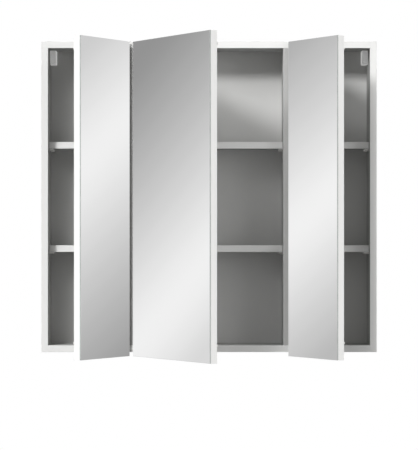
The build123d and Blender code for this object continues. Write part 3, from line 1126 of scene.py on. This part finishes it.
@dataclass(frozen=True)
class SoftLight:
    """A distant soft lamp: the way its light travels, its strength and how wide it looks."""

    name: str
    travel: Corner
    strength: float
    width: float

    def hang(self) -> None:
        """Add the lamp to the scene."""
        lamp = bpy.data.lights.new(self.name, "SUN")
        lamp.energy = self.strength
        lamp.angle = math.radians(self.width)
        sun = bpy.data.objects.new(self.name, lamp)
        sun.rotation_euler = Vector(self.travel).to_track_quat("-Z", "Y").to_euler()
        bpy.context.scene.collection.objects.link(sun)


SOFT_LIGHTS = (
    SoftLight("key", (103.0, 196.0, -104.0), 1.75, 10.0),
    SoftLight("overhead", (103.0, 196.0, -170.0), 1.0, 26.0),
    SoftLight("fill", (-0.72, 0.70, -0.12), 0.42, 25.0),
)


@dataclass(frozen=True)
class Reflection:
    """What a mirror shows: a soft bright band across a grey sweep, on a card beside the cabinet.

    The span and the crest are distances along the sweep, in metres. The falls are how many
    display shades it loses in a metre before the crest and after it.
    """

    name: str
    way: int
    across: tuple[float, float]
    sweep: tuple[float, float]
    span: tuple[float, float]
    crest: float
    brightest: float
    falls: tuple[float, float]
    darkest: float = 0.0
    softness: float = 0.06
    steps: int = 16

    def shade(self, distance: float) -> float:
        """The display shade at a distance along the sweep, rounded over at the crest.

        Args:
            distance: metres along the sweep.

        Returns:
            A shade from 0 to 255.
        """
        away = distance - self.crest
        fall = self.falls[0] if away < 0 else self.falls[1]
        drop = fall * (math.hypot(away, self.softness) - self.softness)
        return max(self.darkest, self.brightest - drop)


REFLECTIONS = (
    Reflection("left", -1, across=(-0.075, 0.090), sweep=(-0.688, -0.726), span=(-0.13, 0.56),
               crest=0.1, brightest=240.0, falls=(195.0, 200.0)),
    Reflection("middle", 1, across=(0.077, 0.300), sweep=(0.770, -0.638), span=(0.0, 0.65),
               crest=0.51, brightest=240.0, falls=(230.0, 250.0), darkest=148.0),
    Reflection("right", 1, across=(-0.075, 0.077), sweep=(0.672, -0.740), span=(-0.13, 0.57),
               crest=0.252, brightest=241.0, falls=(195.0, 210.0)),
)


@dataclass
class Studio:
    """The camera, the lamps, the floor and the cards that only the mirrors see."""

    camera_distance: float = 5.42
    cabinet_front: float = -0.138
    eye_height: float = -0.391
    focal_length: float = 181.8
    sensor_width: float = 36.0
    farthest_seen: float = 50.0
    horizon_drop: float = 8 / 450
    ambient_below: float = 0.2
    ambient_above: float = 0.47
    ambient_blend: float = 0.4
    card_distance: float = 0.6
    card_low: float = -0.80
    card_high: float = 0.20
    floor_drop: float = 0.75
    floor_centre: float = -2.75
    floor_width: float = 17.0
    floor_depth: float = 10.5
    floor_shades: tuple[float, float] = (0.74, 0.72)
    floor_cloud_scale: float = 3.0
    floor_roughness: float = 0.7
    floor_lift: float = 0.06
    surround_radius: float = 8.0
    surround_height: float = 8.0
    surround_foot: float = -1.6
    surround_sides: int = 96
    surround_shades: tuple[float, float] = (0.70, 1.0)

    def build(self) -> None:
        """Set everything up."""
        self.aim_camera()
        self.light()
        self.lay_floor()
        for reflection in REFLECTIONS:
            self.hang_card(reflection)
        self.raise_surround()

    def aim_camera(self) -> None:
        """Place a long lens level and square to the cabinet, as the photograph has it."""
        camera = bpy.data.cameras.new("camera")
        camera.lens = self.focal_length
        camera.sensor_width = self.sensor_width
        camera.shift_y = self.horizon_drop
        camera.clip_end = self.farthest_seen
        stand = bpy.data.objects.new("camera", camera)
        stand.location = (0, self.cabinet_front - self.camera_distance, self.eye_height)
        stand.rotation_euler = (math.radians(90), 0, 0)
        bpy.context.scene.collection.objects.link(stand)
        bpy.context.scene.camera = stand
        bpy.context.scene.view_settings.view_transform = "Standard"

    def light(self) -> None:
        """Light the cabinet from the upper left front, with even light all round.

        The camera, the mirrors and clear pieces see the surroundings white. Everything else is
        lit by them more weakly, and more from above than from below.
        """
        for soft_light in SOFT_LIGHTS:
            soft_light.hang()
        world = bpy.data.worlds.new("studio")
        bpy.context.scene.world = world
        world.use_nodes = True
        nodes = Nodes(world.node_tree)
        path = nodes.node("LightPath").outputs
        seen = nodes.work_out("MAXIMUM", path["Is Camera Ray"], path["Is Glossy Ray"])
        shown = nodes.work_out("MAXIMUM", seen, path["Is Transmission Ray"])
        facing = nodes.node("TexCoord").outputs["Generated"]
        upward = nodes.node("SeparateXYZ", {"Vector": facing}).outputs["Z"]
        sky = nodes.spread(upward, self.ambient_below, self.ambient_above,
                           -self.ambient_blend, self.ambient_blend)
        backdrop = world.node_tree.nodes["Background"]
        backdrop.inputs["Color"].default_value = WHITE
        nodes.feed(backdrop.inputs["Strength"], nodes.work_out("MAXIMUM", shown, sky))

    def lay_floor(self) -> None:
        """Lay a pale floor well below the cabinet, out of the photograph's view."""
        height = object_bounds()[0].z - self.floor_drop
        bpy.ops.mesh.primitive_plane_add(size=1.0, location=(0, self.floor_centre, height))
        floor = bpy.context.object
        floor.name = "floor"
        floor.scale = (self.floor_width, self.floor_depth, 1.0)
        settle(floor)
        graph = Graph("pale_floor")
        cloud = graph.noise(graph.place(), self.floor_cloud_scale)
        pale, dull = (scaled((1.0, 1.0, 1.0), shade) for shade in self.floor_shades)
        colour = graph.shade_between(cloud, pale, dull)
        graph.feed(graph.shader.inputs["Base Color"], colour)
        graph.shader.inputs["Roughness"].default_value = self.floor_roughness
        graph.shader.inputs["Specular IOR Level"].default_value = 0.0
        path = graph.node("LightPath").outputs
        seen = graph.work_out("MAXIMUM", path["Is Camera Ray"], path["Is Glossy Ray"])
        graph.shader.inputs["Emission Color"].default_value = WHITE
        lift = graph.times(seen, self.floor_lift)
        graph.feed(graph.shader.inputs["Emission Strength"], lift)
        floor.data.materials.append(graph.material)
        floor.visible_diffuse = False
        floor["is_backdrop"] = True

    def hang_card(self, reflection: Reflection) -> None:
        """Stand a glowing card where a mirror's reflected light comes from.

        Args:
            reflection: the mirror's sweep.
        """
        sine, cosine = math.sin(REST_OPENING), math.cos(REST_OPENING)
        outward = Vector((-reflection.way * sine, cosine, 0))
        across = Vector((-reflection.way * cosine, -sine, 0))
        centre = Vector((0, self.cabinet_front, 0)) + outward * self.card_distance
        bpy.ops.mesh.primitive_plane_add(size=1.0)
        card = bpy.context.object
        card.name = f"{reflection.name}_card"
        corners = [(width, height) for height in (self.card_low, self.card_high)
                   for width in reflection.across]
        for vertex, (width, height) in zip(card.data.vertices, corners):
            vertex.co = centre + across * width + Vector((0, 0, height))
        card.data.materials.append(self.card_light(reflection, centre, across))
        self.show_in_mirrors_only(card)

    def card_light(self, reflection: Reflection, centre: Vector,
                   across: Vector) -> bpy.types.Material:
        """A glow that follows the card's sweep.

        Args:
            reflection: the mirror's sweep.
            centre: where the card's own axes start.
            across: the card's level axis.

        Returns:
            The material.
        """
        graph = Graph(f"{reflection.name}_sweep")
        along, rise = reflection.sweep
        direction = across * along + Vector((0, 0, rise))
        product = graph.node("VectorMath", operation="DOT_PRODUCT")
        graph.feed(product.inputs[0], graph.node("TexCoord").outputs["Object"])
        graph.feed(product.inputs[1], tuple(direction))
        offset = centre.dot(direction)
        start, end = reflection.span
        share = graph.spread(product.outputs["Value"], 0.0, 1.0, start + offset, end + offset)
        ramp = graph.node("ValToRGB", {"Fac": share})
        steps = ramp.color_ramp.elements
        while len(steps) < reflection.steps:
            steps.new(0.5)
        for index, step in enumerate(steps):
            step.position = index / (reflection.steps - 1)
            distance = start + (end - start) * step.position
            glow = linear(reflection.shade(distance)) / Silvering.reflectance
            step.color = (glow, glow, glow, 1.0)
        ramp.color_ramp.interpolation = "CARDINAL"
        graph.glow({"Color": ramp.outputs["Color"]})
        return graph.material

    def raise_surround(self) -> None:
        """Stand a wide glowing half-round screen in front, for mirrors and metal to show."""
        deselect()
        middle = self.surround_foot + self.surround_height / 2
        bpy.ops.mesh.primitive_cylinder_add(vertices=self.surround_sides,
                                            radius=self.surround_radius,
                                            depth=self.surround_height, end_fill_type="NOTHING",
                                            location=(0, 0, middle))
        surround = bpy.context.object
        surround.name = "surround"
        settle(surround)
        with editing(surround, "FACE") as mesh:
            for face in mesh.faces:
                face.select_set(face.calc_center_median().y > 0.0)
            bpy.ops.mesh.delete(type="FACE")
        graph = Graph("surround_light")
        height = graph.node("SeparateXYZ", {"Vector": graph.place()}).outputs["Z"]
        graph.glow({"Strength": graph.spread(height, *self.surround_shades,
                                             self.surround_foot, middle)})
        surround.data.materials.append(graph.material)
        self.show_in_mirrors_only(surround)

    def show_in_mirrors_only(self, piece: bpy.types.Object) -> None:
        """Make a glowing piece part of the stage, and hide it from all but reflections.

        Args:
            piece: the card or the screen.
        """
        piece.visible_camera = piece.visible_diffuse = False
        piece.visible_transmission = piece.visible_shadow = False
        piece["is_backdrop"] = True


def dress_frame(frame: dict, paints: Paintbox) -> None:
    """Give every CAD node the finish of its slot, and keep it out of the mirrors.

    Args:
        paints: the materials.
    """
    slots = {row["node"]: row["material_slot"] for row in frame["record"]["subparts"]}
    for name, node in frame["nodes"].items():
        paints.dress(node, FinishKind(slots[name]))
        node.visible_glossy = False
        LOG.info("frame piece %s in %s", name, slots[name])


def main() -> None:
    """Build the cabinet's looks and its studio."""
    logging.basicConfig(level=logging.INFO, format="%(message)s")
    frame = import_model()
    deselect()
    paints = Paintbox.mix()
    dress_frame(frame, paints)
    for name, way in DOORS:
        put_in(DoorFace(name, way), paints)
        for level in (UPPER, LOWER):
            put_in(ArmCap(name, way, level), paints)
    for side, way in SIDES:
        put_in(HangerCover(side, way), paints)
    put_in(CrossScrews("hinge_plate_screws", "cabinet", PLATE_SCREW_HEAD, away_from_partition),
           paints)
    for name, way in DOORS:
        put_in(CrossScrews(f"{name}_cup_screws", f"{name}_door", CUP_SCREW_HEAD,
                           behind_door(way)), paints)
    Studio().build()


if __name__ == "__main__":
    main()
